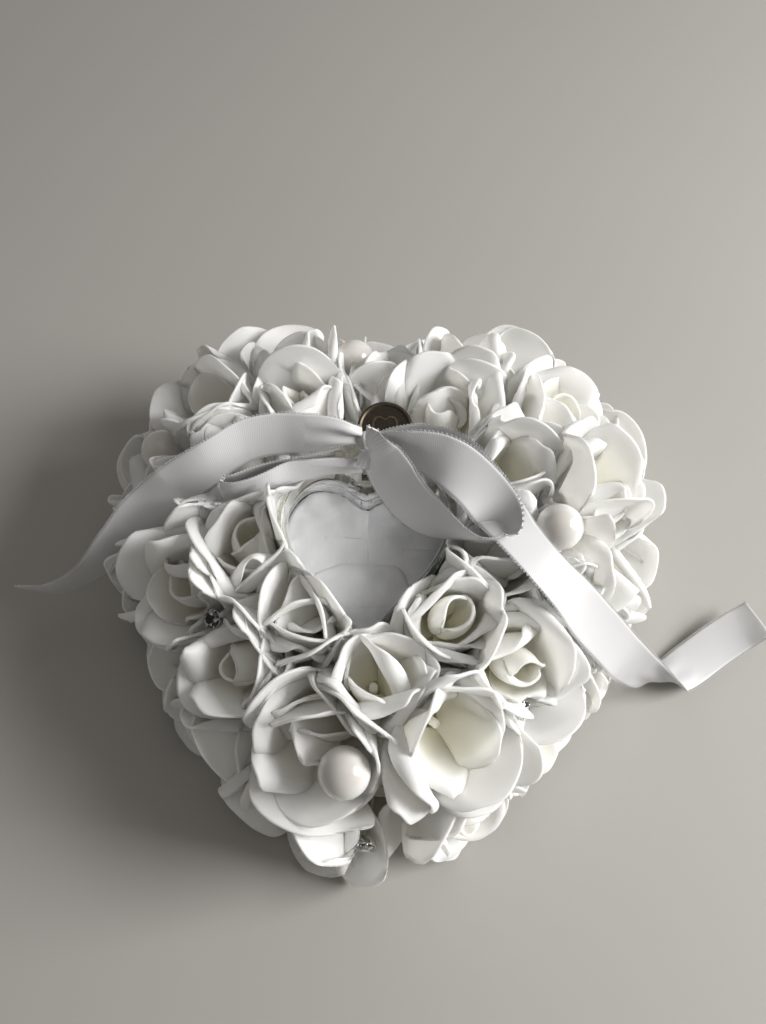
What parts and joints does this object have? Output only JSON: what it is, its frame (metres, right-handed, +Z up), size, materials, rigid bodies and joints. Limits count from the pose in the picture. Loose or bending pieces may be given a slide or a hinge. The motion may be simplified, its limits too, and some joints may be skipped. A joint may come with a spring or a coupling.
{
  "type": "ring bearer pillow",
  "caption": "Heart of white foam roses round a clear hinged heart-shaped ring box, with a satin ribbon bow, pearl-headed and rhinestone pins, and a dark metal button.",
  "frame": {"origin": "middle of the base card's underside", "axes": "+Z up, +Y towards the cleft of the heart and the hinge of the ring box, +X to the right when the heart's tip points at the viewer"},
  "size_m": [0.2162, 0.1481, 0.0721],
  "materials": {
    "card": "plain uncoated board",
    "foam": "fine closed-cell foam",
    "petal_foam": "soft foam sheet, cream in the folds",
    "clear_plastic": "clear moulded styrene",
    "steel": "bright drawn wire",
    "petal_fabric": "stiffened white petals",
    "satin": "ribbed white satin ribbon with looped edges",
    "pearl": "pearl lacquer",
    "crystal": "faceted clear stones in silver claws",
    "bronze": "blackened bronze with a rubbed rim"
  },
  "bodies": {
    "body": {"base_card": "card", "foam_heart": "foam", "box_tray": "clear_plastic", "hinge_pin": "steel", "fabric_petal_left": "petal_fabric", "fabric_petal_right": "petal_fabric", "fabric_petal_front": "petal_fabric", "rose_inner_01": "petal_foam", "rose_inner_02": "petal_foam", "rose_inner_03": "petal_foam", "rose_inner_04": "petal_foam", "rose_inner_05": "petal_foam", "rose_inner_06": "petal_foam", "rose_inner_07": "petal_foam", "rose_inner_08": "petal_foam", "rose_inner_09": "petal_foam", "rose_middle_01": "petal_foam", "rose_middle_02": "petal_foam", "rose_middle_03": "petal_foam", "rose_middle_04": "petal_foam", "rose_middle_05": "petal_foam", "rose_middle_06": "petal_foam", "rose_middle_07": "petal_foam", "rose_middle_08": "petal_foam", "rose_middle_09": "petal_foam", "rose_middle_10": "petal_foam", "rose_middle_11": "petal_foam", "rose_middle_12": "petal_foam", "rose_middle_13": "petal_foam", "rose_outer_01": "petal_foam", "rose_outer_02": "petal_foam", "rose_outer_03": "petal_foam", "rose_outer_04": "petal_foam", "rose_outer_05": "petal_foam", "rose_outer_06": "petal_foam", "rose_outer_07": "petal_foam", "rose_outer_08": "petal_foam", "rose_outer_09": "petal_foam", "rose_outer_10": "petal_foam", "rose_outer_11": "petal_foam", "rose_outer_12": "petal_foam", "rose_outer_13": "petal_foam", "rose_outer_14": "petal_foam", "pearl_pin_1": "pearl", "pearl_pin_2": "pearl", "pearl_pin_3": "pearl", "pearl_pin_4": "pearl", "rhinestone_pin_1": "crystal", "rhinestone_pin_2": "crystal", "rhinestone_pin_3": "crystal", "rhinestone_pin_4": "crystal", "rhinestone_pin_5": "crystal", "rhinestone_pin_6": "crystal", "metal_button": "bronze", "ribbon_tail_left": "satin", "ribbon_tail_right": "satin", "bow_loop_right": "satin", "bow_loop_left": "satin", "bow_knot": "satin"},
    "lid": {"box_lid": "clear_plastic"}
  },
  "joints": [
    {"name": "lid_hinge", "type": "hinge", "parent": "body", "child": "lid", "pos_m": [-0.004, 0.0204, 0.0495], "axis": [-1, 0, 0], "range_deg": [0, 95], "deforming": ["bow_loop_right", "bow_loop_left"]}
  ]
}
